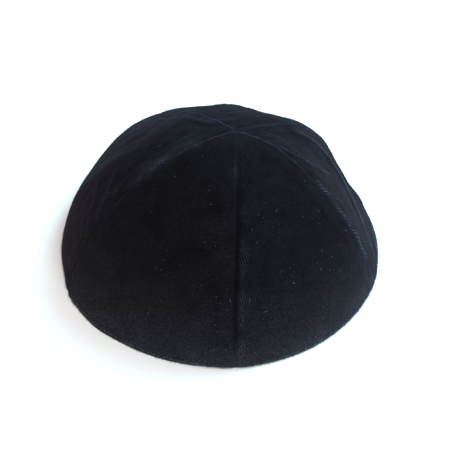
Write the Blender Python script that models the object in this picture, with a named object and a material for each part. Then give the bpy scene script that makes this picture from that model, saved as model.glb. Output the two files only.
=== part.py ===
"""A skullcap sewn from six velvet gores, lying on its rim.

Metres, +Z up. The middle of the rim is the origin and the front seam points along -Y.
Each gore is one closed cloth wall. Every point of it is named by three shares: across, from its
first seam to its second; down, from the crown to the rim; and through, from the inside to the pile
side. Seams and gores are counted anticlockwise seen from above, from the front seam.
"""

import math
from collections import namedtuple

import bmesh
import bpy
from mathutils import Vector

# Sizes of the whole cap
RIM_RADIUS = 0.080
CROWN_HEIGHT = 0.061
WALL = 0.002

# Roundness of the meridian: 2 and 2 would be an ellipse. A larger SIDE_FULLNESS fills out the side,
# and a smaller CROWN_FULLNESS makes the crown more pointed.
SIDE_FULLNESS = 2.25
CROWN_FULLNESS = 1.17

# How far the point where the seams meet lies off the middle. A larger power keeps this to the crown.
CROWN_LEAN = Vector((0.0014, -0.0019, 0.0))
CROWN_LEAN_POWER = 2

# The turned-in hem, the seam grooves and the gaps between the gores
HEM_HEIGHT = 0.012
HEM_STEP = 0.0015
HEM_THICKENING = 0.0008
GROOVE_DEPTH = 0.0007
GROOVE_WIDTH = 0.0022
SEAM_GAP = 0.0003
CROWN_HOLE_RADIUS = 0.0008

# How the cross-section of a gore flattens between its seams
SAG_SHARPNESS = 1.25
RIM_SAG_POWER = 3

# Mesh density of a gore
STEPS_ACROSS = 16
STEPS_DOWN_CROWN = 20
STEPS_DOWN_HEM = 4

# turn and bow are degrees: where the seam meets the rim, off its even place, and how far it swings
# out half way up. reach and shoulder are shares of RIM_RADIUS: at the rim, and added half way up.
Seam = namedtuple("Seam", "turn bow reach shoulder")
SEAMS = (
    Seam(turn=0.7, bow=-0.6, reach=0.969, shoulder=-0.003),
    Seam(turn=4.5, bow=-4.2, reach=0.966, shoulder=0.005),
    Seam(turn=-6.8, bow=5.0, reach=0.988, shoulder=-0.009),
    Seam(turn=-0.3, bow=0.0, reach=0.966, shoulder=-0.017),
    Seam(turn=-13.8, bow=-3.8, reach=1.008, shoulder=0.005),
    Seam(turn=-0.4, bow=-3.3, reach=1.012, shoulder=-0.019),
)
SEAM_STEP = 360 / len(SEAMS)

# sag and rim_sag are shares of RIM_RADIUS: how far the gore's middle lies outside the round, half
# way up and at the rim. They are negative where the cloth hangs flat between its seams.
Gore = namedtuple("Gore", "name sag rim_sag")
GORES = (
    Gore("front_right_gore", sag=-0.050, rim_sag=-0.007),
    Gore("right_gore", sag=-0.083, rim_sag=0.010),
    Gore("back_right_gore", sag=-0.041, rim_sag=0.0),
    Gore("back_left_gore", sag=-0.062, rim_sag=0.0),
    Gore("left_gore", sag=0.018, rim_sag=-0.023),
    Gore("front_left_gore", sag=-0.050, rim_sag=0.006),
)

# A fold runs between two places, each given as a turn in degrees and a share of the way down.
# rise and width are shares of RIM_RADIUS. A negative rise is a hollow.
Fold = namedtuple("Fold", "turn_a down_a turn_b down_b rise width")
FOLDS = (
    Fold(turn_a=116, down_a=0.26, turn_b=96, down_b=0.52, rise=0.009, width=0.056),
    Fold(turn_a=96, down_a=0.52, turn_b=74, down_b=0.80, rise=0.006, width=0.056),
    Fold(turn_a=111, down_a=0.60, turn_b=106, down_b=0.78, rise=-0.018, width=0.100),
    Fold(turn_a=108, down_a=0.90, turn_b=109, down_b=1.00, rise=0.020, width=0.088),
    Fold(turn_a=121, down_a=0.36, turn_b=121, down_b=0.56, rise=0.010, width=0.088),
    Fold(turn_a=160, down_a=0.24, turn_b=149, down_b=0.34, rise=-0.016, width=0.112),
    Fold(turn_a=235, down_a=0.46, turn_b=235, down_b=0.56, rise=0.018, width=0.088),
    Fold(turn_a=256, down_a=0.52, turn_b=260, down_b=0.56, rise=-0.006, width=0.088),
    Fold(turn_a=289, down_a=1.00, turn_b=295, down_b=1.00, rise=-0.004, width=0.075),
    Fold(turn_a=303, down_a=1.00, turn_b=315, down_b=1.00, rise=0.013, width=0.112),
)


def profile(down):
    """Radius share and height share of the meridian, at a share of the way down."""
    angle = down * math.pi / 2
    return math.sin(angle) ** (2 / SIDE_FULLNESS), abs(math.cos(angle)) ** (2 / CROWN_FULLNESS)


def outward(ray, down):
    """The way the wall is thick: straight up at the crown, turning evenly to straight out at the rim."""
    angle = down * math.pi / 2
    return ray * math.sin(angle) + Vector((0.0, 0.0, math.cos(angle)))


def down_at_height(height):
    """Share of the way down where the meridian has this height above the table."""
    return math.acos((height / CROWN_HEIGHT) ** (CROWN_FULLNESS / 2)) / (math.pi / 2)


def down_at_radius(radius):
    """Share of the way down where the meridian has this radius."""
    return math.asin((radius / RIM_RADIUS) ** (SIDE_FULLNESS / 2)) / (math.pi / 2)


def smooth(share):
    """Eases from 0 to 1, flat at both ends."""
    share = min(max(share, 0.0), 1.0)
    return share * share * (3 - 2 * share)


def mix(first, second, share):
    return first + (second - first) * share


def seam_turn(number, down):
    """Turn of a seam in radians. Seam number len(SEAMS) is the front seam, one turn on."""
    seam = SEAMS[number % len(SEAMS)]
    return math.radians(SEAM_STEP * number + seam.turn + seam.bow * math.sin(math.pi * down))


def flat_place(turn, down):
    """The cap pressed flat: the crown at the middle and each meridian a straight ray."""
    return Vector((math.sin(turn), -math.cos(turn))) * down * RIM_RADIUS


def fold_rise(turn, down):
    """How far the folds and hollows push the cloth outward at this place."""
    place = flat_place(turn, down)
    rise = 0.0
    for fold in FOLDS:
        start = flat_place(math.radians(fold.turn_a), fold.down_a)
        run = flat_place(math.radians(fold.turn_b), fold.down_b) - start
        share = min(max((place - start).dot(run) / run.length_squared, 0.0), 1.0)
        distance = (place - start - run * share).length
        rise += fold.rise * RIM_RADIUS * math.exp(-((distance / (fold.width * RIM_RADIUS)) ** 2))
    return rise


def cap_point(number, across, down, through):
    """The place of a point of gore number, from its shares across, down and through the wall."""
    first, second = SEAMS[number], SEAMS[(number + 1) % len(SEAMS)]
    radius_share, height_share = profile(down)
    arch = math.sin(math.pi * down)
    blend = smooth(across)
    hang = math.sin(math.pi * across) ** SAG_SHARPNESS
    gore = GORES[number]
    outline = mix(first.reach, second.reach, blend) + mix(first.shoulder, second.shoulder, blend) * arch
    outline += hang * (gore.sag * arch + gore.rim_sag * down**RIM_SAG_POWER)
    radius = RIM_RADIUS * radius_share * outline

    turn_a, turn_b = seam_turn(number, down), seam_turn(number + 1, down)
    half_gap = math.asin(SEAM_GAP / 2 / radius)
    turn = mix(turn_a + half_gap, turn_b - half_gap, across)
    height = CROWN_HEIGHT * height_share
    axis = CROWN_LEAN * (1 - radius_share) ** CROWN_LEAN_POWER
    ray = Vector((math.sin(turn), -math.cos(turn), 0.0))

    to_seam = min(across, 1 - across) * (turn_b - turn_a) * radius
    groove = GROOVE_DEPTH * math.exp(-((to_seam / GROOVE_WIDTH) ** 2))
    hem = HEM_THICKENING * smooth((HEM_HEIGHT + HEM_STEP / 2 - height) / HEM_STEP)
    offset = fold_rise(turn, down) - mix(WALL + hem, groove, through)
    return axis + ray * radius + Vector((0.0, 0.0, height)) + outward(ray, down) * offset


def down_steps():
    """Shares of the way down at which a gore has a row of points, with a row on each side of the hem's step."""
    top = down_at_radius(CROWN_HOLE_RADIUS)
    step_top = down_at_height(HEM_HEIGHT + HEM_STEP / 2)
    step_foot = down_at_height(HEM_HEIGHT - HEM_STEP / 2)
    crown = [mix(top, step_top, i / STEPS_DOWN_CROWN) for i in range(STEPS_DOWN_CROWN)]
    hem = [mix(step_foot, 1.0, i / STEPS_DOWN_HEM) for i in range(STEPS_DOWN_HEM + 1)]
    return crown + [step_top] + hem


def make_gore(number, material, collection):
    """One gore: a flat slab of squares, each corner carried to its place on the cap."""
    rows = down_steps()[::-1]
    across_steps = [(1 - math.cos(math.pi * i / STEPS_ACROSS)) / 2 for i in range(STEPS_ACROSS + 1)]
    slab = bmesh.new()
    bmesh.ops.create_grid(slab, x_segments=STEPS_ACROSS, y_segments=len(rows) - 1, size=0.5)
    extruded = bmesh.ops.extrude_face_region(slab, geom=slab.faces[:])
    for vertex in [item for item in extruded["geom"] if isinstance(item, bmesh.types.BMVert)]:
        vertex.co.z = 1.0
    bmesh.ops.recalc_face_normals(slab, faces=slab.faces[:])
    for vertex in slab.verts:
        column = round((vertex.co.x + 0.5) * STEPS_ACROSS)
        row = round((vertex.co.y + 0.5) * (len(rows) - 1))
        vertex.co = cap_point(number, across_steps[column], rows[row], vertex.co.z)
    mesh = bpy.data.meshes.new(GORES[number].name)
    slab.to_mesh(mesh)
    slab.free()
    mesh.shade_smooth()
    mesh.set_sharp_from_angle(angle=math.radians(50))
    mesh.materials.append(material)
    gore = bpy.data.objects.new(GORES[number].name, mesh)
    collection.objects.link(gore)
    return gore


def velvet():
    """Black cotton velvet: no gloss, with a cold sheen where it is seen along the pile."""
    material = bpy.data.materials.new("black_velvet")
    material.use_nodes = True
    shader = material.node_tree.nodes["Principled BSDF"]
    shader.inputs["Base Color"].default_value = (0.010, 0.010, 0.014, 1.0)
    shader.inputs["Roughness"].default_value = 0.9
    shader.inputs["Metallic"].default_value = 0.0
    shader.inputs["Sheen Weight"].default_value = 0.3
    return material


def main():
    for leftover in list(bpy.data.objects):
        bpy.data.objects.remove(leftover)
    collection = bpy.data.collections.new("skullcap")
    bpy.context.scene.collection.children.link(collection)
    cap = bpy.data.objects.new("skullcap", None)
    collection.objects.link(cap)
    material = velvet()
    for number in range(len(GORES)):
        make_gore(number, material, collection).parent = cap


main()
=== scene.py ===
"""The looks of a black velvet skullcap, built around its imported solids.

Metres, in the frame's axes: +Z up, and the front seam along -Y. Each of the six gores becomes one fine cloth
shell, on the same form as its solid, with the details that the solid leaves out: stitched seam valleys over
raised allowances, creases, a turned-in hem, and rows of pile that show where the cloth bends. Short spikes of
pile stand on it, which soften its outline, and lint lies on it.
"""

import math
from collections import namedtuple

import bpy
import numpy as np
from mathutils import Matrix, Vector

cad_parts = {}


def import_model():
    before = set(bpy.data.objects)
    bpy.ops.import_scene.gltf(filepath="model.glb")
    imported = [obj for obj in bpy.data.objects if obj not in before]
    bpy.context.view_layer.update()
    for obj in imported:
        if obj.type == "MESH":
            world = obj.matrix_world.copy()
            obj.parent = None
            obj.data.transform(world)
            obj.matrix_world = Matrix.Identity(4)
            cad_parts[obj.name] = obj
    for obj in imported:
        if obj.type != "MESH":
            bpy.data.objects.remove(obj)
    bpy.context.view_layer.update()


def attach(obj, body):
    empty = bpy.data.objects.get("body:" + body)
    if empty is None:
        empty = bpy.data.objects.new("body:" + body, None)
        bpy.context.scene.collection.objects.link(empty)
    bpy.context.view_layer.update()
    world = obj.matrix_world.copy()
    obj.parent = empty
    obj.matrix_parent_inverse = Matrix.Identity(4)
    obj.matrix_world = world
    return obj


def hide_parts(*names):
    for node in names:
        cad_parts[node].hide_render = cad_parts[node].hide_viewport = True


# The cap's form, as in the part's source
RIM_RADIUS = 0.080
CROWN_HEIGHT = 0.061
CROWN_LEAN = np.array((0.0014, -0.0019, 0.0))
CROWN_LEAN_POWER = 2
WALL = 0.002
SIDE_FULLNESS = 2.25
CROWN_FULLNESS = 1.17
HEM_HEIGHT = 0.012
HEM_STEP = 0.0015
HEM_THICKENING = 0.0008
SAG_SHARPNESS = 1.25
RIM_SAG_POWER = 3

# The crown's pinhole is smaller than in the solids
CROWN_HOLE_RADIUS = 0.00015

# The seams, gores and folds are as in the part's source. turn, bow and sway are degrees, and the other values
# of form are shares of RIM_RADIUS. sway is of the scene alone: how far the stitching swings off the solid's
# seam, near the crown.
Seam = namedtuple("Seam", "turn bow reach shoulder sway")
SEAMS = (
    Seam(turn=0.7, bow=-0.6, reach=0.969, shoulder=-0.003, sway=0.0),
    Seam(turn=4.5, bow=-4.2, reach=0.966, shoulder=0.005, sway=-3.0),
    Seam(turn=-6.8, bow=5.0, reach=0.988, shoulder=-0.009, sway=0.0),
    Seam(turn=-0.3, bow=0.0, reach=0.966, shoulder=-0.017, sway=0.0),
    Seam(turn=-13.8, bow=-3.8, reach=1.008, shoulder=0.005, sway=0.0),
    Seam(turn=-0.4, bow=-3.3, reach=1.012, shoulder=-0.019, sway=0.0),
)
SEAM_STEP = 360 / len(SEAMS)
SWAY_END = 0.60

# edge is of the scene alone: how strongly painted sheen shows towards the rim on each gore, by how the light
# falls on it
Gore = namedtuple("Gore", "name sag rim_sag edge")
GORES = (
    Gore("front_right_gore", sag=-0.050, rim_sag=-0.007, edge=1.10),
    Gore("right_gore", sag=-0.083, rim_sag=0.010, edge=0.05),
    Gore("back_right_gore", sag=-0.041, rim_sag=0.0, edge=0.90),
    Gore("back_left_gore", sag=-0.062, rim_sag=0.0, edge=0.90),
    Gore("left_gore", sag=0.018, rim_sag=-0.023, edge=0.55),
    Gore("front_left_gore", sag=-0.050, rim_sag=0.006, edge=1.0),
)

Fold = namedtuple("Fold", "turn_a down_a turn_b down_b rise width")
FOLDS = (
    Fold(turn_a=116, down_a=0.26, turn_b=96, down_b=0.52, rise=0.009, width=0.056),
    Fold(turn_a=96, down_a=0.52, turn_b=74, down_b=0.80, rise=0.006, width=0.056),
    Fold(turn_a=111, down_a=0.60, turn_b=106, down_b=0.78, rise=-0.018, width=0.100),
    Fold(turn_a=108, down_a=0.90, turn_b=109, down_b=1.00, rise=0.020, width=0.088),
    Fold(turn_a=121, down_a=0.36, turn_b=121, down_b=0.56, rise=0.010, width=0.088),
    Fold(turn_a=160, down_a=0.24, turn_b=149, down_b=0.34, rise=-0.016, width=0.112),
    Fold(turn_a=235, down_a=0.46, turn_b=235, down_b=0.56, rise=0.018, width=0.088),
    Fold(turn_a=256, down_a=0.52, turn_b=260, down_b=0.56, rise=-0.006, width=0.088),
    Fold(turn_a=289, down_a=1.00, turn_b=295, down_b=1.00, rise=-0.004, width=0.075),
    Fold(turn_a=303, down_a=1.00, turn_b=315, down_b=1.00, rise=0.013, width=0.112),
)

# Unevenness: soft hills and hollows of this size, in metres, that swing a value by this much about its
# middle. They are a sum of waves, each quicker or slower than the size by a random one of NOISE_PACES.
Uneven = namedtuple("Uneven", "size seed middle swing")
PUCKERS = Uneven(size=0.007, seed=5, middle=0.0, swing=0.00018)
LIP_DASHES = Uneven(size=0.002, seed=21, middle=0.60, swing=0.40)
ROW_BREAKS = Uneven(size=0.010, seed=8, middle=0.75, swing=0.6)
ROW_PATCHES = Uneven(size=0.016, seed=31, middle=0.5, swing=0.8)
GLOW_PATCHES = Uneven(size=0.018, seed=14, middle=0.85, swing=0.15)
DENTS = (
    Uneven(size=0.022, seed=3, middle=0.0, swing=0.00030),
    Uneven(size=0.008, seed=3, middle=0.0, swing=0.00008),
)
NOISE_WAVES = 12
NOISE_PACES = (0.6, 1.5)
NOISE_SPREAD = 4

# Sharp creases that the solids are too coarse for. Each runs through points, given as a turn in degrees and a
# share of the way down. rise and width are metres. glow and glow_end are how light the painted sheen of the
# pile parted along it shows, at its start and its end. spikes is the share of its places where pile pale with
# painted sheen stands up.
Crease = namedtuple("Crease", "points rise width glow glow_end spikes")
CREASES = (
    Crease(((62, 0.12), (66, 0.20), (70, 0.27), (75, 0.33), (80, 0.39)), 0.0001, 0.0010, 0.12, 0.12, 0.3),
    Crease(
        ((104, 0.19), (102, 0.30), (96, 0.42), (90, 0.52), (84, 0.61), (77, 0.69)),
        0.0005, 0.0014, 0.08, 0.36, 1.0,
    ),
    Crease(((77, 0.69), (73, 0.75), (70, 0.82)), 0.0002, 0.0011, 0.25, 0.12, 0.5),
    Crease(((92, 0.91), (84, 0.89), (77, 0.91)), 0.0003, 0.0014, 0.12, 0.12, 0.2),
    Crease(((243, 0.05), (241, 0.12), (239, 0.20), (238, 0.30)), 0.0001, 0.0010, 0.15, 0.15, 0.0),
    Crease(((271, 0.49), (278, 0.51), (285, 0.55), (294, 0.63)), 0.0001, 0.0018, 0.11, 0.09, 0.0),
    Crease(((277, 0.40), (283, 0.44), (288, 0.48), (294, 0.55)), 0.0001, 0.0018, 0.11, 0.11, 0.0),
    Crease(((283, 0.60), (288, 0.63), (293, 0.65)), 0.0001, 0.0016, 0.09, 0.09, 0.0),
    Crease(((354, 0.72), (358, 0.71)), 0.0001, 0.0012, 0.10, 0.10, 0.0),
    Crease(((353, 0.81), (358, 0.80)), 0.0001, 0.0012, 0.12, 0.12, 0.0),
)

# A crease's corners are cut off this often, by this share of each stretch. Its painted sheen line is
# CREASE_LINE of the crease's width, fades out at CREASE_REACH in metres, and eases in and out at the crease's
# ends. At NO_CREASE widths from it, nothing of it is left.
CORNER_CUTS = 2
CORNER_CUT = 0.25
CREASE_LINE = 0.48
CREASE_REACH = 0.0022
CREASE_EASE = 6
CREASE_EASE_START = 0.25
NO_CREASE = 99.0

# Seams: a stitched valley between two lips, over allowances pressed open behind the cloth
SEAM_GAP = 0.00004
VALLEY_DEPTH = 0.0007
VALLEY_WIDTH = 0.0012
LIP_PLACE = 0.0014
LIP_WIDTH = 0.0006
LIP_RISE = 0.00008
LIP_LINE_PLACE = 0.0005
LIP_LINE_WIDTH = 0.0004
ALLOWANCE_WIDTH = 0.0055
ALLOWANCE_EDGE = 0.0030
ALLOWANCE_RISE = 0.00022
ALLOWANCE_INSIDE = 0.0006
ALLOWANCE_START = 0.1
PUCKER_REACH = 0.0040

# Each seam's looks: how deep its valley is, which also sets the painted shade in it, how light the painted
# highlight on its lip shows on either side, and how strongly the pile rows with their painted highlight do
# there, over a band this wide in metres, from start to end, shares of the way down. Before and after a seam
# are its sides with smaller and larger turns.
Side = namedtuple("Side", "lip rows band start end")
SeamLook = namedtuple("SeamLook", "valley before after")
SEAM_LOOKS = (
    SeamLook(0.9, Side(0.06, 0.35, 0.0026, 0.10, 0.24), Side(0.06, 0.26, 0.0055, 0.26, 1.10)),
    SeamLook(0.1, Side(0.40, 0.05, 0.0030, 0.20, 0.80), Side(0.10, 0.85, 0.0026, 0.27, 0.74)),
    SeamLook(0.5, Side(0.10, 0.20, 0.0030, 0.15, 0.90), Side(0.25, 0.25, 0.0030, 0.15, 0.90)),
    SeamLook(0.5, Side(0.10, 0.20, 0.0040, 0.10, 0.90), Side(0.10, 0.20, 0.0040, 0.10, 0.90)),
    SeamLook(0.5, Side(0.15, 0.20, 0.0030, 0.10, 0.90), Side(0.40, 0.25, 0.0030, 0.10, 0.90)),
    SeamLook(0.1, Side(0.08, 0.90, 0.0026, 0.12, 0.40), Side(0.32, 0.05, 0.0030, 0.15, 0.70)),
)

# A valley is shallow at the crown and at the rim. It starts to deepen, is deep and starts to fade at these
# shares of the way down.
VALLEY_AT_CROWN = 0.08
VALLEY_AT_RIM = 0.02
VALLEY_START = 0.12
VALLEY_FULL = 0.45
VALLEY_FADE = 0.55

# A lip's painted highlight loses LIP_FADED of its light by LIP_FADE of the way down. The rows ease in and out
# over ROWS_FADE of the way. They are strongest at ROWS_PLACE of their band from the seam, and thin out over
# ROWS_WIDTH of it.
LIP_FADE = 0.40
LIP_FADED = 0.9
ROWS_FADE = 0.08
ROWS_PLACE = 0.35
ROWS_WIDTH = 0.5

# Rows of pile, which show beside a seam, where the bend parts them, lightened by a painted highlight: how far
# apart they are on each gore, and how far they move sideways for each metre down. A row with no slant runs
# along the gore's middle line.
Rows = namedtuple("Rows", "pitch slant")
ROWS = (
    Rows(pitch=0.0010, slant=0.0),
    Rows(pitch=0.0016, slant=0.44),
    Rows(pitch=0.0011, slant=0.3),
    Rows(pitch=0.0011, slant=0.0),
    Rows(pitch=0.0010, slant=0.0),
    Rows(pitch=0.0010, slant=0.0),
)

# How high the rows stand beside a seam, and how strongly they show on the rest of the cloth: away from the
# rim, and at it, which fades out at RIM_ROWS_HEIGHT
ROW_HEIGHT = 0.00005
PLAIN_ROWS = 0.02
RIM_ROWS = 0.12
RIM_ROWS_HEIGHT = 0.014

# Painted sheen towards the folded edge, for the light off the floor that the splayed pile catches: heights
# above the table, and how light it shows
EDGE_PAINTED_SHEEN = ((0.034, 0.15), (0.010, 0.14))

# Broad strokes of painted sheen where the pile lies the other way, between two places, in the columns of the
# folds.
# width is metres, and glow is how light it shows.
SheenStroke = namedtuple("SheenStroke", "turn_a down_a turn_b down_b width glow")
PAINTED_SHEEN_STROKES = (
    SheenStroke(turn_a=294, down_a=0.13, turn_b=293, down_b=0.30, width=0.0018, glow=0.18),
    SheenStroke(turn_a=353, down_a=0.38, turn_b=357, down_b=0.48, width=0.004, glow=0.03),
)

# The folded edge at the rim
RIM_ROUNDING = 0.0005

# Spikes of pile on each gore, with paler ones along its folded edge and on its creases, which part the pile;
# the paleness is painted sheen. number is for each gore, or for each metre of crease.
Spikes = namedtuple("Spikes", "number lengths width")
PILE_SPIKES = Spikes(number=9000, lengths=(0.0003, 0.0008), width=0.00006)
EDGE_SPIKES = Spikes(number=850, lengths=(0.0004, 0.0010), width=0.00014)
CREASE_SPIKES = Spikes(number=32000, lengths=(0.0003, 0.0008), width=0.00007)
EDGE_SPIKES_START = 0.93
CREASE_SPREAD = 0.22
SPIKE_ROOT = 0.0001
SPIKE_LEAN = 0.35
SPIKE_SPREAD = 0.30
SPIKE_FACES = ((0, 1, 3), (1, 2, 3), (2, 0, 3), (0, 2, 1))
SPIKE_POINTS = 4
PILE_SEED = 100
SEAM_MARGIN = 0.01
TABLE_GAP = 0.00002

# Lint: fibres where the photograph shows them, by pixel, with their length and width in metres and the angle
# in degrees at which they lie, and small specks all over
Lint = namedtuple("Lint", "x y length width angle")
LINT = (
    Lint(x=353, y=214, length=0.0008, width=0.00015, angle=30),
    Lint(x=345, y=230, length=0.0008, width=0.00013, angle=60),
    Lint(x=371, y=238, length=0.0008, width=0.00015, angle=80),
    Lint(x=329, y=269, length=0.0010, width=0.00013, angle=70),
    Lint(x=320, y=268, length=0.0012, width=0.00007, angle=40),
    Lint(x=293, y=282, length=0.0010, width=0.00015, angle=150),
    Lint(x=230, y=300, length=0.0018, width=0.00010, angle=88),
    Lint(x=249, y=300, length=0.0016, width=0.00010, angle=84),
    Lint(x=265, y=311, length=0.0024, width=0.00007, angle=20),
    Lint(x=148, y=313, length=0.0010, width=0.00012, angle=45),
    Lint(x=204, y=242, length=0.0010, width=0.00007, angle=60),
    Lint(x=211, y=204, length=0.0008, width=0.00010, angle=0),
    Lint(x=131, y=150, length=0.0014, width=0.00007, angle=160),
    Lint(x=196, y=128, length=0.0010, width=0.00007, angle=120),
    Lint(x=161, y=300, length=0.0008, width=0.00007, angle=100),
    Lint(x=173, y=286, length=0.0008, width=0.00007, angle=10),
    Lint(x=216, y=296, length=0.0012, width=0.00007, angle=5),
    Lint(x=227, y=309, length=0.0018, width=0.00007, angle=170),
    Lint(x=251, y=229, length=0.0010, width=0.00007, angle=100),
    Lint(x=264, y=203, length=0.0008, width=0.00007, angle=20),
    Lint(x=276, y=210, length=0.0018, width=0.00006, angle=50),
    Lint(x=289, y=267, length=0.0010, width=0.00007, angle=95),
    Lint(x=321, y=250, length=0.0009, width=0.00007, angle=30),
    Lint(x=319, y=223, length=0.0009, width=0.00007, angle=90),
    Lint(x=338, y=191, length=0.0008, width=0.00007, angle=0),
    Lint(x=331, y=256, length=0.0010, width=0.00007, angle=140),
    Lint(x=364, y=229, length=0.0009, width=0.00007, angle=60),
)
LINT_HEIGHT = 0.0003
LINT_BEND = 0.25
LINT_SEED = 7
SPECKS = Spikes(number=45, lengths=(0.0003, 0.0007), width=0.00008)
SPECKS_END = 0.97

# A fibre's stations, as shares of its length from its middle, and how thick it is there
FIBRE_STATIONS = ((-0.5, 0.35), (-0.2, 1.0), (0.2, 1.0), (0.5, 0.35))

# Mesh density of a gore. The inside has one point for each INSIDE_STEP points of the outside.
STEPS_ACROSS = 160
STEPS_DOWN = 256
INSIDE_STEP = 2
EDGE_CROWDING = 0.60
MERIDIAN_STEPS = 4000
SHARP_ANGLE = math.radians(60)

# The velvet's pile: its colours, a pale one for its mottle and for painted sheen and a blue-grey one for its
# rows and for painted highlights, and the scale of its noises, how far its rows wander, in rows, how sharp
# the rows and the painted sheen line of a crease are, how light the mottle shows, how strong the grain is,
# and how much painted shade darkens the valleys
PILE_BLACK = (0.0024, 0.0018, 0.0023)
PILE_MOTTLE_AND_SHEEN = (0.042, 0.039, 0.048)
PILE_ROWS_AND_HIGHLIGHTS = (0.036, 0.041, 0.062)
SHEEN_TINT = (0.94, 0.78, 0.96)
MOTTLE_SCALE = 150.0
GRAIN_SCALE = 1500.0
WANDER_SCALE = 260.0
ROW_WANDER = 0.9
ROW_SHARPNESS = 2.4
CREASE_SHARPNESS = 1.6
MOTTLE_GLOW = 0.10
GRAIN_CONTRAST = 3.4
GRAIN_DARK = 0.7
GRAIN_LEAST = 0.1
VALLEY_SHADE = 0.85

# The other materials, in fine specks between two colours
Finish = namedtuple("Finish", "name scale dark light roughness")
BACKING = Finish("velvet_backing", 1500.0, (0.006, 0.006, 0.007), (0.020, 0.020, 0.022), 0.9)
TIPS = Finish("pile_tips", 900.0, (0.002, 0.002, 0.003), (0.022, 0.024, 0.031), 0.8)
# Pile tips made pale by painted sheen, along the folded edge and on the creases
SHEEN_TIPS = Finish("pale_tips_painted_sheen", 500.0, (0.020, 0.024, 0.030), (0.150, 0.175, 0.205), 0.8)
LINT_GREY = Finish("lint_grey", 700.0, (0.04, 0.04, 0.05), (0.19, 0.19, 0.21), 0.7)

# The studio: white surroundings, a pale floor, and cool windows behind the cap and on its right
SURROUNDINGS = (1.0, 0.98, 0.975)
FLOOR_COLOUR = (0.80, 0.735, 0.72)
FLOOR_HALF = 3.0
Window = namedtuple("Window", "name place size power colour")
WINDOWS = (
    Window("back_window", (0.90, 0.85, 0.80), 1.0, 66.0, (0.38, 0.82, 1.0)),
    Window("side_window", (0.68, -1.13, 0.36), 0.8, 20.0, (0.66, 0.97, 1.0)),
)

# The photograph's camera
PHOTO_PIXELS = 452
FOCAL_PIXELS = 484
SENSOR_WIDTH = 36.0
CAMERA_DISTANCE = 0.247
CAMERA_AIM = Vector((0.0011, 0.0, 0.0))
CAMERA_AZIMUTH = math.radians(-6.16)
CAMERA_ELEVATION = math.radians(45.64)
CAMERA_PAN = math.radians(0.09)
CAMERA_TILT = math.radians(0.30)
CAMERA_ROLL = math.radians(4.92)


def profile(down):
    """Radius share and height share of the meridian, at shares of the way down."""
    angle = np.clip(down, 0.0, 1.0) * math.pi / 2
    return np.sin(angle) ** (2 / SIDE_FULLNESS), np.maximum(np.cos(angle), 0.0) ** (2 / CROWN_FULLNESS)


def smooth(share):
    """Eases from 0 to 1, flat at both ends."""
    share = np.clip(share, 0.0, 1.0)
    return share * share * (3 - 2 * share)


def mix(first, second, share):
    return first + (second - first) * share


def bell(distance, width):
    return np.exp(-((distance / width) ** 2))


def rays(turn):
    """Unit vectors straight out from the cap's axis, at these turns."""
    return np.stack((np.sin(turn), -np.cos(turn), np.zeros_like(turn)), axis=-1)


def flat_place(turn, down):
    """The cap pressed flat: the crown at the middle and each meridian a straight ray."""
    return rays(turn)[..., :2] * (down * RIM_RADIUS)[..., None]


def seam_turn(number, down):
    """Turn of a seam in radians. Seam number len(SEAMS) is the front seam, one turn on."""
    seam = SEAMS[number % len(SEAMS)]
    sway = seam.sway * np.sin(np.pi * np.minimum(down / SWAY_END, 1.0)) ** 2
    return np.radians(SEAM_STEP * number + seam.turn + seam.bow * np.sin(np.pi * down) + sway)


def line_distance(place, start, end):
    """Signed distance of places from a stretch of line on the pressed cap, and how far along it they lie."""
    run = end - start
    share = np.clip((place - start) @ run / (run @ run), 0.0, 1.0)
    aside = place - start - share[..., None] * run
    side = np.sign(run[0] * aside[..., 1] - run[1] * aside[..., 0])
    return side * np.linalg.norm(aside, axis=-1), share


def stroke_bells(strokes, turn, down, unit):
    """Each stroke, and how near the points lie to it, from 0 to 1. unit is the one that its width is in."""
    place = flat_place(turn, down)
    for stroke in strokes:
        turns, downs = (stroke.turn_a, stroke.turn_b), (stroke.down_a, stroke.down_b)
        start, end = flat_place(np.radians(turns), np.array(downs))
        yield stroke, bell(line_distance(place, start, end)[0], stroke.width * unit)


def folds_rise(turn, down):
    """How far the folds and hollows push the cloth outward."""
    return sum(fold.rise * RIM_RADIUS * near for fold, near in stroke_bells(FOLDS, turn, down, RIM_RADIUS))


def sheen_strokes_glow(turn, down):
    """How light the broad strokes of painted sheen show."""
    return sum(stroke.glow * near for stroke, near in stroke_bells(PAINTED_SHEEN_STROKES, turn, down, 1.0))


def crease_line(crease):
    """Points of a crease on the pressed cap, with its corners rounded off."""
    turns, downs = np.array(crease.points).T
    points = flat_place(np.radians(turns), downs)
    for _ in range(CORNER_CUTS):
        start, end = points[:-1], points[1:]
        cut = np.stack((mix(start, end, CORNER_CUT), mix(start, end, 1 - CORNER_CUT)), axis=1).reshape(-1, 2)
        points = np.concatenate((points[:1], cut, points[-1:]))
    return points


def crease_taper(along):
    """Eases a crease in and out, at shares of the way along it."""
    start = smooth(CREASE_EASE * along + CREASE_EASE_START)
    end = smooth(CREASE_EASE * (1 - along) + CREASE_EASE_START)
    return start * end


def crease_measures(turn, down):
    """Rise of the creases, signed distance from the nearest one in its own widths, and how light its painted
    sheen shows.
    """
    place = flat_place(turn, down)
    rise, glow = np.zeros_like(down), np.zeros_like(down)
    nearest, widths_off = np.full_like(down, np.inf), np.full_like(down, NO_CREASE)
    for crease in CREASES:
        points = crease_line(crease)
        count = len(points) - 1
        best, along = np.full_like(down, np.inf), np.zeros_like(down)
        for number in range(count):
            distance, share = line_distance(place, points[number], points[number + 1])
            closer = np.abs(distance) < np.abs(best)
            best = np.where(closer, distance, best)
            along = np.where(closer, (number + share) / count, along)
        taper = crease_taper(along)
        rise += crease.rise * bell(best, crease.width) * taper
        closer = np.abs(best) < nearest
        nearest = np.where(closer, np.abs(best), nearest)
        widths_off = np.where(closer, best / (CREASE_LINE * crease.width), widths_off)
        light = mix(crease.glow, crease.glow_end, along) * taper
        glow = np.where(closer, light * smooth(2 - 2 * np.abs(best) / CREASE_REACH), glow)
    return rise, widths_off, glow


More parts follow.
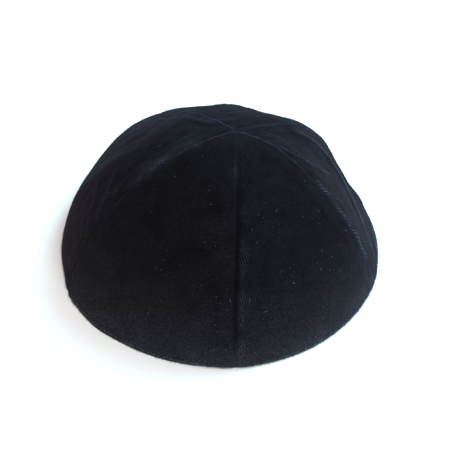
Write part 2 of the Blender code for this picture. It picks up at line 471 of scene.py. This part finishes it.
def uneven(places, kind):
    """A value that varies softly from place to place: a sum of waves in space, with random directions."""
    spins = np.random.default_rng(kind.seed)
    total = np.zeros(places.shape[:-1])
    for _ in range(NOISE_WAVES):
        direction = spins.normal(size=3)
        direction *= spins.uniform(*NOISE_PACES) / np.linalg.norm(direction)
        total += np.sin(places @ direction * (2 * math.pi / kind.size) + spins.uniform(0, 2 * math.pi))
    return kind.middle + kind.swing * np.clip(total / NOISE_SPREAD, -1.0, 1.0)


class Cloth:
    """The places and measures of points of one gore: a grid, rows from the crown down, or a plain list."""

    def __init__(self, number, across, down):
        first, second = SEAMS[number], SEAMS[(number + 1) % len(SEAMS)]
        gore = GORES[number]
        self.number, self.across, self.down = number, across, down
        radius_share, height_share = profile(down)
        arch = np.sin(np.pi * down)
        blend = smooth(across)
        hang = np.clip(np.sin(np.pi * across), 0.0, 1.0) ** SAG_SHARPNESS
        outline = mix(first.reach, second.reach, blend) + mix(first.shoulder, second.shoulder, blend) * arch
        outline += hang * (gore.sag * arch + gore.rim_sag * down**RIM_SAG_POWER)
        radius = RIM_RADIUS * radius_share * outline
        turn_a, turn_b = seam_turn(number, down), seam_turn(number + 1, down)
        half_gap = np.arcsin(SEAM_GAP / 2 / radius)
        self.turn = mix(turn_a + half_gap, turn_b - half_gap, across)
        self.height = CROWN_HEIGHT * height_share
        ray = rays(self.turn)
        angle = down * math.pi / 2
        up = np.array((0.0, 0.0, 1.0))
        self.outward = ray * np.sin(angle)[..., None] + up * np.cos(angle)[..., None]
        self.downward = ray * np.cos(angle)[..., None] - up * np.sin(angle)[..., None]
        lean = (1 - radius_share) ** CROWN_LEAN_POWER
        self.base = CROWN_LEAN * lean[..., None] + ray * radius[..., None] + up * self.height[..., None]
        width = (turn_b - turn_a) * radius
        self.from_seam = np.minimum(across, 1 - across) * width
        length = np.interp(down, *meridian())
        self.row_place = ((across - 0.5) * width - ROWS[number].slant * length) / ROWS[number].pitch
        self.folds = folds_rise(self.turn, down)
        self.crease_rise, self.crease_place, self.crease_painted_sheen = crease_measures(self.turn, down)

        first_look, second_look = SEAM_LOOKS[number], SEAM_LOOKS[(number + 1) % len(SEAMS)]
        self.sides = first_look.after, second_look.before
        deep = np.where(across < 0.5, first_look.valley, second_look.valley)
        deep *= mix(VALLEY_AT_CROWN, 1.0, smooth((down - VALLEY_START) / (VALLEY_FULL - VALLEY_START)))
        deep *= mix(1.0, VALLEY_AT_RIM, smooth((down - VALLEY_FADE) / (1 - VALLEY_FADE)))
        # sunk sets both how deep the valley is and how much painted shade darkens it
        self.sunk = deep * bell(self.from_seam, VALLEY_WIDTH)

    def by_side(self, field):
        """A value of the nearer seam's side, from its column of the table."""
        return np.where(self.across < 0.5, getattr(self.sides[0], field), getattr(self.sides[1], field))

    def seam_relief(self):
        """Valley, lip, raised allowance and the puckers that the stitches pull."""
        valley = -VALLEY_DEPTH * self.sunk
        lip = LIP_RISE * bell(self.from_seam - LIP_PLACE, LIP_WIDTH)
        on_allowance = smooth((ALLOWANCE_WIDTH + ALLOWANCE_EDGE - self.from_seam) / ALLOWANCE_EDGE)
        puckers = uneven(self.base, PUCKERS) * bell(self.from_seam, PUCKER_REACH)
        return valley + lip + ALLOWANCE_RISE * on_allowance + puckers

    def lip_painted_highlight(self):
        """How light the painted highlight on the lip of each seam shows: most near the crown, and uneven."""
        fade = 1 - LIP_FADED * smooth(self.down / LIP_FADE)
        line = bell(self.from_seam - LIP_LINE_PLACE, LIP_LINE_WIDTH)
        return self.by_side("lip") * fade * uneven(self.base, LIP_DASHES) * line

    def seam_rows(self):
        """How far the pile rows show beside the seams, in broken stretches."""
        stretch = smooth((self.down - self.by_side("start")) / ROWS_FADE)
        stretch *= smooth((self.by_side("end") - self.down) / ROWS_FADE)
        broken = smooth(uneven(self.base, ROW_BREAKS))
        band = self.by_side("band")
        in_band = bell(self.from_seam - ROWS_PLACE * band, ROWS_WIDTH * band)
        return self.by_side("rows") * stretch * broken * in_band

    def row_strength(self):
        """How far the pile rows show: beside the seams, and faintly above the rim."""
        patchy = smooth(uneven(self.base, ROW_PATCHES))
        plain = patchy * mix(PLAIN_ROWS, RIM_ROWS, smooth(1 - self.height / RIM_ROWS_HEIGHT))
        return np.maximum(self.seam_rows(), plain)

    def broad_painted_sheen(self):
        """Painted sheen: towards the rim, where the splayed pile catches the light off the floor, and in the
        broad strokes.
        """
        edge = sum(glow * smooth(1 - self.height / height) for height, glow in EDGE_PAINTED_SHEEN)
        glow = edge * GORES[self.number].edge + sheen_strokes_glow(self.turn, self.down)
        return uneven(self.base, GLOW_PATCHES) * glow

    def rim_rounding(self):
        """How far the folded edge turns under, close to the table."""
        sunk = np.clip(1 - self.height / RIM_ROUNDING, 0.0, 1.0)
        return RIM_ROUNDING * (1 - np.sqrt(1 - sunk**2))

    def outside(self):
        """The pile side of the cloth."""
        dents = sum(uneven(self.base, dent) for dent in DENTS)
        rows = ROW_HEIGHT * np.cos(2 * np.pi * self.row_place) * self.seam_rows()
        offset = self.folds + self.crease_rise + self.seam_relief() + rows
        offset += dents * smooth(self.height / HEM_HEIGHT) - self.rim_rounding()
        return self.moved_outward(offset)

    def inside(self):
        """The back of the cloth, thicker at the hem and where the allowances are pressed open."""
        hem = HEM_THICKENING * smooth((HEM_HEIGHT + HEM_STEP / 2 - self.height) / HEM_STEP)
        allowance = ALLOWANCE_INSIDE * smooth((ALLOWANCE_WIDTH - self.from_seam) / HEM_STEP)
        extra = np.maximum(hem, allowance * smooth(self.down / ALLOWANCE_START))
        return self.moved_outward(self.folds - WALL - extra + self.rim_rounding())

    def moved_outward(self, offset):
        """The points moved outward by this much, and none below the table."""
        points = self.base + self.outward * offset[..., None]
        points[..., 2] = np.maximum(points[..., 2], 0.0)
        return points


def across_steps():
    """Shares across a gore, crowded towards its seams."""
    even = np.linspace(0.0, 1.0, STEPS_ACROSS + 1)
    return even - EDGE_CROWDING * np.sin(2 * np.pi * even) / (2 * np.pi)


def meridian():
    """Shares of the way down, closely spaced, and the length of cloth from the crown to each."""
    angle = np.arcsin((CROWN_HOLE_RADIUS / RIM_RADIUS) ** (SIDE_FULLNESS / 2))
    fine = np.linspace(angle / (math.pi / 2), 1.0, MERIDIAN_STEPS)
    radius_share, height_share = profile(fine)
    steps = np.hypot(np.diff(radius_share * RIM_RADIUS), np.diff(height_share * CROWN_HEIGHT))
    return fine, np.concatenate(((0.0,), np.cumsum(steps)))


def down_steps():
    """Shares of the way down, evenly spaced along the cloth."""
    fine, length = meridian()
    return np.interp(np.linspace(0.0, length[-1], STEPS_DOWN + 1), length, fine)


def grid_faces(index):
    """Quads of a grid of point numbers, seen from its front."""
    corners = (index[:-1, :-1], index[1:, :-1], index[1:, 1:], index[:-1, 1:])
    return np.stack([corner.ravel() for corner in corners], axis=-1).tolist()


def wall_faces(fine, coarse):
    """Faces between an edge of the outside and the matching edge of the inside."""
    faces = []
    for number in range(len(coarse) - 1):
        run = fine[number * INSIDE_STEP : (number + 1) * INSIDE_STEP + 1]
        faces.append([*run[::-1], coarse[number], coarse[number + 1]])
    return faces


def shell_mesh(name, outside, inside):
    """A closed cloth wall between a fine and a coarse grid of points of one shape."""
    outer = np.arange(outside[..., 0].size).reshape(outside.shape[:2])
    inner = np.arange(inside[..., 0].size).reshape(inside.shape[:2]) + outer.size
    front, back = grid_faces(outer), grid_faces(inner[:, ::-1])
    walls = wall_faces(outer[:, 0].tolist(), inner[:, 0].tolist())
    walls += wall_faces(outer[::-1, -1].tolist(), inner[::-1, -1].tolist())
    walls += wall_faces(outer[0, ::-1].tolist(), inner[0, ::-1].tolist())
    walls += wall_faces(outer[-1].tolist(), inner[-1].tolist())
    points = np.concatenate((outside.reshape(-1, 3), inside.reshape(-1, 3)))
    mesh = bpy.data.meshes.new(name)
    mesh.from_pydata(points, [], front + back + walls)
    mesh.shade_smooth()
    mesh.set_sharp_from_angle(angle=SHARP_ANGLE)
    return mesh, len(front), len(back)


def add_attribute(mesh, name, outside):
    """A number at every point of the outside, which is 0 on the inside."""
    values = np.zeros(len(mesh.vertices), np.float32)
    values[: outside.size] = outside.ravel()
    mesh.attributes.new(name, "FLOAT", "POINT").data.foreach_set("value", values)


def add_object(name, mesh):
    piece = bpy.data.objects.new(name, mesh)
    bpy.context.scene.collection.objects.link(piece)
    return piece


def make_gore(number, pile, backing):
    """The dressed shell of one gore, with the measures that its material reads."""
    cloth = Cloth(number, *np.meshgrid(across_steps(), down_steps()))
    back = Cloth(number, *np.meshgrid(across_steps()[::INSIDE_STEP], down_steps()[::INSIDE_STEP]))
    name = "cloth_" + GORES[number].name
    mesh, front_count, back_count = shell_mesh(name, cloth.outside(), back.inside())
    mesh.materials.append(pile)
    mesh.materials.append(backing)
    slots = np.zeros(len(mesh.polygons), np.int32)
    slots[front_count : front_count + back_count] = np.where(back.height[:-1, :-1] < HEM_HEIGHT, 0, 1).ravel()
    mesh.polygons.foreach_set("material_index", slots)
    add_attribute(mesh, "row_place", cloth.row_place)
    add_attribute(mesh, "row_strength", cloth.row_strength())
    add_attribute(mesh, "lip_painted_highlight", cloth.lip_painted_highlight())
    add_attribute(mesh, "broad_painted_sheen", cloth.broad_painted_sheen())
    add_attribute(mesh, "crease_place", cloth.crease_place)
    add_attribute(mesh, "crease_painted_sheen", cloth.crease_painted_sheen)
    add_attribute(mesh, "sunk", cloth.sunk)
    return add_object(name, mesh)


def spike_points(roots, directions, lengths, width):
    """Corners of three-sided spikes, four each: a foot triangle and then the tip."""
    sideways = np.cross(directions, (0.3, 0.5, 0.8))
    sideways /= np.linalg.norm(sideways, axis=-1, keepdims=True)
    other = np.cross(directions, sideways)
    points = []
    for corner in range(3):
        angle = corner * 2 * math.pi / 3
        points.append(roots + width / 2 * (sideways * math.cos(angle) + other * math.sin(angle)))
    points.append(roots + directions * lengths[:, None])
    return np.stack(points, axis=1).reshape(-1, 3)


def spread_places(number, count, start, end, spins):
    """Random points over a gore, evenly spread over its cloth, between two shares of the way down."""
    fine, length = meridian()
    radius_share, _ = profile(fine)
    area = np.concatenate(((0.0,), np.cumsum(radius_share[1:] * np.diff(length))))
    low, high = np.interp((start, end), fine, area)
    down = np.interp(spins.uniform(low, high, count), area, fine)
    return Cloth(number, spins.uniform(SEAM_MARGIN, 1 - SEAM_MARGIN, count), down)


def crease_places(number, spins):
    """Random points of a gore along its creases, more where their painted sheen is stronger."""
    kept = []
    for crease in CREASES:
        points = crease_line(crease)
        steps = np.linalg.norm(np.diff(points, axis=0), axis=-1)
        length = np.concatenate(((0.0,), np.cumsum(steps)))
        along = spins.uniform(0.0, 1.0, int(length[-1] * CREASE_SPIKES.number))
        share = mix(crease.glow, crease.glow_end, along) / max(crease.glow, crease.glow_end)
        chance = crease.spikes * share * crease_taper(along)
        along = along[spins.uniform(0.0, 1.0, len(along)) < chance]
        place = np.stack([np.interp(along * length[-1], length, column) for column in points.T], axis=-1)
        kept.append(place + spins.normal(size=place.shape) * crease.width * CREASE_SPREAD)
    place = np.concatenate(kept)
    down = np.linalg.norm(place, axis=-1) / RIM_RADIUS
    turn_a, turn_b = seam_turn(number, down), seam_turn(number + 1, down)
    turn = np.arctan2(place[:, 0], -place[:, 1])
    across = np.mod(turn - turn_a, 2 * math.pi) / (turn_b - turn_a)
    inside = across < 1 - SEAM_MARGIN
    return Cloth(number, across[inside], down[inside])


def make_pile(number, tips, pale):
    """Short spikes of pile that lean towards the rim, pale with painted sheen at the gore's folded edge and
    on its creases.
    """
    spins = np.random.default_rng(PILE_SEED + number)
    stands = (
        (PILE_SPIKES, spread_places(number, PILE_SPIKES.number, 0.0, 1.0, spins)),
        (EDGE_SPIKES, spread_places(number, EDGE_SPIKES.number, EDGE_SPIKES_START, 1.0, spins)),
        (CREASE_SPIKES, crease_places(number, spins)),
    )
    parts = []
    for spikes, cloth in stands:
        count = len(cloth.down)
        directions = cloth.outward + cloth.downward * SPIKE_LEAN
        directions += spins.normal(size=(count, 3)) * SPIKE_SPREAD
        directions /= np.linalg.norm(directions, axis=-1, keepdims=True)
        roots = cloth.outside() - cloth.outward * SPIKE_ROOT
        lengths = spins.uniform(*spikes.lengths, count) + SPIKE_ROOT
        parts.append(spike_points(roots, directions, lengths, spikes.width))
    points = np.concatenate(parts)
    points[:, 2] = np.maximum(points[:, 2], TABLE_GAP)
    first = np.arange(0, len(points), SPIKE_POINTS)[:, None]
    faces = np.concatenate([first + corners for corners in SPIKE_FACES])
    mesh = bpy.data.meshes.new("pile_" + GORES[number].name)
    mesh.from_pydata(points, [], faces)
    mesh.materials.append(tips)
    mesh.materials.append(pale)
    pale_faces = faces[:, 0] >= SPIKE_POINTS * PILE_SPIKES.number
    mesh.polygons.foreach_set("material_index", pale_faces.astype(np.int32))
    return add_object(mesh.name, mesh)


def fibre(place, outward, along, length, width, bend, points, faces):
    """Adds one bent three-sided fibre that lies on the pile, with closed ends."""
    side = np.cross(outward, along)
    first = len(points)
    for share, thickness in FIBRE_STATIONS:
        middle = place + along * share * length + side * bend * length * (0.25 - share * share)
        for corner in range(3):
            angle = corner * 2 * math.pi / 3
            spoke = side * math.cos(angle) + outward * math.sin(angle)
            points.append(middle + width / 2 * thickness * spoke)
    last = first + 3 * (len(FIBRE_STATIONS) - 1)
    for start in range(first, last, 3):
        for corner in range(3):
            after = (corner + 1) % 3
            faces.append((start + corner, start + after, start + 3 + after, start + 3 + corner))
    faces.append((first + 2, first + 1, first))
    faces.append((last, last + 1, last + 2))


def photo_ray(camera, x, y):
    """Start and direction of the ray through the middle of a pixel of the photograph."""
    turn = camera.matrix_world.to_3x3()
    middle = PHOTO_PIXELS / 2
    direction = turn @ Vector(((x + 0.5 - middle) / FOCAL_PIXELS, (middle - y - 0.5) / FOCAL_PIXELS, -1.0))
    return camera.matrix_world.translation, direction.normalized()


def make_lint(camera, gores, material):
    """Pale fibres of lint on the pile: those that the photograph shows, and specks all round."""
    spins = np.random.default_rng(LINT_SEED)
    points, faces = [], []
    bpy.context.view_layer.update()
    for lint in LINT:
        start, direction = photo_ray(camera, lint.x, lint.y)
        hits = [hit for hit in (gore.ray_cast(start, direction) for gore in gores) if hit[0]]
        _, place, outward, _ = min(hits, key=lambda hit: (hit[1] - start).length)
        angle = math.radians(lint.angle)
        along = camera.matrix_world.to_3x3() @ Vector((math.cos(angle), math.sin(angle), 0.0))
        along = (along - outward * along.dot(outward)).normalized()
        middle = np.array(place + outward * LINT_HEIGHT)
        fibre(middle, np.array(outward), np.array(along), lint.length, lint.width, LINT_BEND, points, faces)
    for number in range(len(GORES)):
        cloth = spread_places(number, SPECKS.number, 0.0, SPECKS_END, spins)
        places = cloth.outside() + cloth.outward * LINT_HEIGHT
        for place, outward, downward in zip(places, cloth.outward, cloth.downward):
            angle = spins.uniform(0, 2 * math.pi)
            along = downward * math.cos(angle) + np.cross(outward, downward) * math.sin(angle)
            length = spins.uniform(*SPECKS.lengths)
            fibre(place, outward, along, length, SPECKS.width, LINT_BEND, points, faces)
    mesh = bpy.data.meshes.new("lint")
    mesh.from_pydata(points, [], faces)
    mesh.materials.append(material)
    return add_object("lint", mesh)


def new_material(name):
    material = bpy.data.materials.new(name)
    material.use_nodes = True
    nodes = material.node_tree.nodes
    return material, nodes, material.node_tree.links, nodes["Principled BSDF"]


def attribute_node(nodes, name):
    node = nodes.new("ShaderNodeAttribute")
    node.attribute_name = name
    return node.outputs["Fac"]


def math_node(nodes, links, operation, *inputs):
    """A Math node whose inputs are numbers or other nodes' outputs."""
    node = nodes.new("ShaderNodeMath")
    node.operation = operation
    for socket, value in zip(node.inputs, inputs):
        if isinstance(value, (int, float)):
            socket.default_value = value
        else:
            links.new(value, socket)
    return node.outputs[0]


def noise_node(nodes, links, place, scale, detail):
    node = nodes.new("ShaderNodeTexNoise")
    node.inputs["Scale"].default_value = scale
    node.inputs["Detail"].default_value = detail
    links.new(place, node.inputs["Vector"])
    return node.outputs["Fac"]


def colour_mix(nodes, links, share, first, second):
    """A Mix node from one colour, which may be another node's output, to another colour."""
    node = nodes.new("ShaderNodeMix")
    node.data_type = "RGBA"
    if isinstance(first, tuple):
        node.inputs[6].default_value = (*first, 1.0)
    else:
        links.new(first, node.inputs[6])
    node.inputs[7].default_value = (*second, 1.0)
    links.new(share, node.inputs[0])
    return node.outputs[2]


def velvet_pile():
    """Short black pile: all but black face on, with painted sheen and highlights in grey-blue along its rows,
    creases, lips and rim, and painted shade in its seam valleys.
    """
    material, nodes, links, shader = new_material("velvet_pile")

    def maths(operation, *inputs):
        return math_node(nodes, links, operation, *inputs)

    shader.inputs["Roughness"].default_value = 0.85
    shader.inputs["Specular IOR Level"].default_value = 0.0
    shader.inputs["Sheen Weight"].default_value = 0.043
    shader.inputs["Sheen Roughness"].default_value = 0.45
    shader.inputs["Sheen Tint"].default_value = (*SHEEN_TINT, 1.0)
    place = nodes.new("ShaderNodeTexCoord").outputs["Object"]
    mottle = noise_node(nodes, links, place, MOTTLE_SCALE, 4.0)
    grain = noise_node(nodes, links, place, GRAIN_SCALE, 2.0)
    wander = noise_node(nodes, links, place, WANDER_SCALE, 2.0)

    row = maths("MULTIPLY_ADD", wander, ROW_WANDER, attribute_node(nodes, "row_place"))
    wave = maths("SINE", maths("MULTIPLY", row, 2 * math.pi))
    crest = maths("POWER", maths("MULTIPLY_ADD", wave, 0.5, 0.5), ROW_SHARPNESS)
    rows = maths("MULTIPLY", crest, attribute_node(nodes, "row_strength"))
    widths_off = attribute_node(nodes, "crease_place")
    line = maths("EXPONENT", maths("MULTIPLY", maths("MULTIPLY", widths_off, widths_off), -CREASE_SHARPNESS))
    # Painted sheen along the creases
    creased = maths("MULTIPLY", line, attribute_node(nodes, "crease_painted_sheen"))
    # Pile rows, partly the pile's real pattern and partly painted highlight, with the painted sheen of the
    # creases and the painted highlight of the lips
    rows_and_highlights = maths("MAXIMUM", maths("MAXIMUM", rows, creased), attribute_node(nodes, "lip_painted_highlight"))

    # Random mottle, the velvet's own, plus painted sheen towards the rim and in broad strokes
    plain = maths("MULTIPLY_ADD", mottle, MOTTLE_GLOW, attribute_node(nodes, "broad_painted_sheen"))
    speckles = maths("MAXIMUM", maths("MULTIPLY_ADD", grain, GRAIN_CONTRAST, -GRAIN_DARK), GRAIN_LEAST)
    # Painted shade in the seam valleys
    shaded = maths("MULTIPLY_ADD", attribute_node(nodes, "sunk"), -VALLEY_SHADE, 1.0)
    lit = maths("MULTIPLY", speckles, shaded)
    colour = colour_mix(nodes, links, maths("MULTIPLY", plain, lit), PILE_BLACK, PILE_MOTTLE_AND_SHEEN)
    colour = colour_mix(nodes, links, maths("MULTIPLY", rows_and_highlights, lit), colour, PILE_ROWS_AND_HIGHLIGHTS)
    links.new(colour, shader.inputs["Base Color"])

    bump = nodes.new("ShaderNodeBump")
    bump.inputs["Strength"].default_value = 0.6
    bump.inputs["Distance"].default_value = 0.0002
    links.new(grain, bump.inputs["Height"])
    links.new(bump.outputs["Normal"], shader.inputs["Normal"])
    return material


def speckled_material(finish):
    """A matt material between two colours, in fine specks."""
    material, nodes, links, shader = new_material(finish.name)
    shader.inputs["Roughness"].default_value = finish.roughness
    shader.inputs["Specular IOR Level"].default_value = 0.0
    place = nodes.new("ShaderNodeTexCoord").outputs["Object"]
    specks = noise_node(nodes, links, place, finish.scale, 2.0)
    links.new(colour_mix(nodes, links, specks, finish.dark, finish.light), shader.inputs["Base Color"])
    return material


def make_floor():
    mesh = bpy.data.meshes.new("floor")
    corners = [(x * FLOOR_HALF, y * FLOOR_HALF, 0.0) for x, y in ((-1, -1), (1, -1), (1, 1), (-1, 1))]
    mesh.from_pydata(corners, [], [(0, 1, 2, 3)])
    material, _, _, shader = new_material("pale_floor")
    shader.inputs["Base Color"].default_value = (*FLOOR_COLOUR, 1.0)
    shader.inputs["Roughness"].default_value = 0.8
    mesh.materials.append(material)
    add_object("floor", mesh)


def make_window(window):
    """A square light that points at the middle of the cap."""
    light = bpy.data.lights.new(window.name, "AREA")
    light.shape = "SQUARE"
    light.size = window.size
    light.energy = window.power
    light.color = window.colour
    lamp = add_object(window.name, light)
    lamp.location = window.place
    aim = Vector((0.0, 0.0, CROWN_HEIGHT / 2)) - Vector(window.place)
    lamp.rotation_euler = aim.to_track_quat("-Z", "Y").to_euler()


def make_light():
    """Plain soft studio light."""
    world = bpy.data.worlds.new("studio")
    world.use_nodes = True
    background = world.node_tree.nodes["Background"]
    background.inputs["Color"].default_value = (*SURROUNDINGS, 1.0)
    background.inputs["Strength"].default_value = 1.0
    bpy.context.scene.world = world
    for window in WINDOWS:
        make_window(window)


def make_camera():
    """The photograph's camera, aimed at the middle of the rim with a small roll."""
    azimuth, elevation = CAMERA_AZIMUTH, CAMERA_ELEVATION
    flat = Vector((math.sin(azimuth), -math.cos(azimuth), 0.0))
    back = flat * math.cos(elevation) + Vector((0.0, 0.0, math.sin(elevation)))
    right = Vector((math.cos(azimuth), math.sin(azimuth), 0.0))
    place = CAMERA_AIM + back * CAMERA_DISTANCE
    pan = Matrix.Rotation(CAMERA_PAN, 3, back.cross(right))
    right, back = pan @ right, pan @ back
    back = Matrix.Rotation(CAMERA_TILT, 3, right) @ back
    right = Matrix.Rotation(CAMERA_ROLL, 3, back) @ right
    up = back.cross(right)
    data = bpy.data.cameras.new("photo_camera")
    data.sensor_width = SENSOR_WIDTH
    data.lens = SENSOR_WIDTH * FOCAL_PIXELS / PHOTO_PIXELS
    data.clip_start, data.clip_end = 0.01, 20.0
    camera = add_object("photo_camera", data)
    camera.matrix_world = Matrix.Translation(place) @ Matrix((right, up, back)).transposed().to_4x4()
    bpy.context.scene.camera = camera
    return camera


def dress(piece):
    """Makes a piece ride on the cap."""
    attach(piece, "root")


def main():
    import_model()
    pile = velvet_pile()
    backing, tips, pale, lint_grey = map(speckled_material, (BACKING, TIPS, SHEEN_TIPS, LINT_GREY))
    camera = make_camera()
    gores = []
    for number, gore in enumerate(GORES):
        piece = make_gore(number, pile, backing)
        dress(piece)
        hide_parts(gore.name)
        gores.append(piece)
        dress(make_pile(number, tips, pale))
    dress(make_lint(camera, gores, lint_grey))
    make_floor()
    make_light()
    bpy.context.scene.view_settings.view_transform = "Standard"


main()
